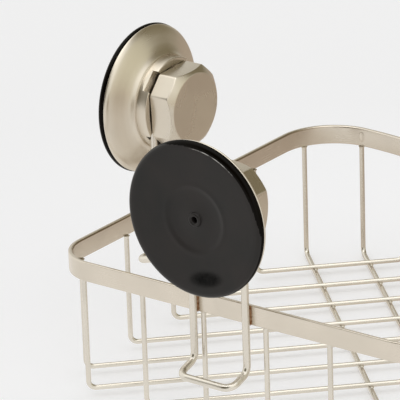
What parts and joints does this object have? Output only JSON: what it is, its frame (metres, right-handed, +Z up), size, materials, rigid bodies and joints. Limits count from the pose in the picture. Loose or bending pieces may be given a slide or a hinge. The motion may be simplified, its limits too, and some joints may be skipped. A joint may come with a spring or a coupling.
{
  "type": "corner shower caddy",
  "caption": "Fan-shaped wire basket for the inside corner of a shower, hung by bent-wire brackets from two suction cups that a turning knob draws tight to the walls.",
  "frame": {"origin": "centre of the bounding box in plan, at the height of the surface that the basket's cross wires stand on", "axes": "+Z up, +Y from the bowed front edge to the wall corner, +X to the right as seen from the room; the plane x = 0 is the mirror plane that halves the corner"},
  "size_m": [0.2652, 0.2058, 0.1401],
  "materials": {
    "strip": "satin",
    "wire": "satin",
    "plated_shell": "satin",
    "rubber": "satin",
    "stud": "satin",
    "nut": "satin",
    "slip_washer": "matte"
  },
  "bodies": {
    "caddy": {"rim_band": "strip", "floor_wire_01": "wire", "floor_wire_02": "wire", "floor_wire_03": "wire", "floor_wire_04": "wire", "floor_wire_05": "wire", "floor_wire_06": "wire", "floor_wire_07": "wire", "floor_wire_08": "wire", "floor_wire_09": "wire", "floor_wire_10": "wire", "cross_wire_back": "wire", "cross_wire_front": "wire", "bracket_left": "wire", "housing_left": "plated_shell", "rubber_cup_left": "rubber", "washer_left": "slip_washer", "bracket_right": "wire", "housing_right": "plated_shell", "rubber_cup_right": "rubber", "washer_right": "slip_washer"},
    "knob_left": {"knob_left": "plated_shell", "knob_nut_left": "nut"},
    "stud_left": {"stud_left": "stud"},
    "knob_right": {"knob_right": "plated_shell", "knob_nut_right": "nut"},
    "stud_right": {"stud_right": "stud"}
  },
  "joints": [
    {"name": "knob_left_turn", "type": "hinge", "parent": "caddy", "child": "knob_left", "pos_m": [-0.06173, 0.04135, 0.10575], "axis": [-0.7071, 0.7071, 0], "range_deg": [0, 720]},
    {"name": "stud_left_draw", "type": "slide", "parent": "caddy", "child": "stud_left", "axis": [0.7071, -0.7071, 0], "range_m": [0, 0.0031]},
    {"name": "knob_right_turn", "type": "hinge", "parent": "caddy", "child": "knob_right", "pos_m": [0.06173, 0.04135, 0.10575], "axis": [0.7071, 0.7071, 0], "range_deg": [0, 720]},
    {"name": "stud_right_draw", "type": "slide", "parent": "caddy", "child": "stud_right", "axis": [-0.7071, -0.7071, 0], "range_m": [0, 0.0031]}
  ],
  "couplings": [
    {"joint": "stud_left_draw", "follows": "knob_left_turn", "m_per_rad": 0.00023873},
    {"joint": "stud_right_draw", "follows": "knob_right_turn", "m_per_rad": 0.00023873}
  ]
}
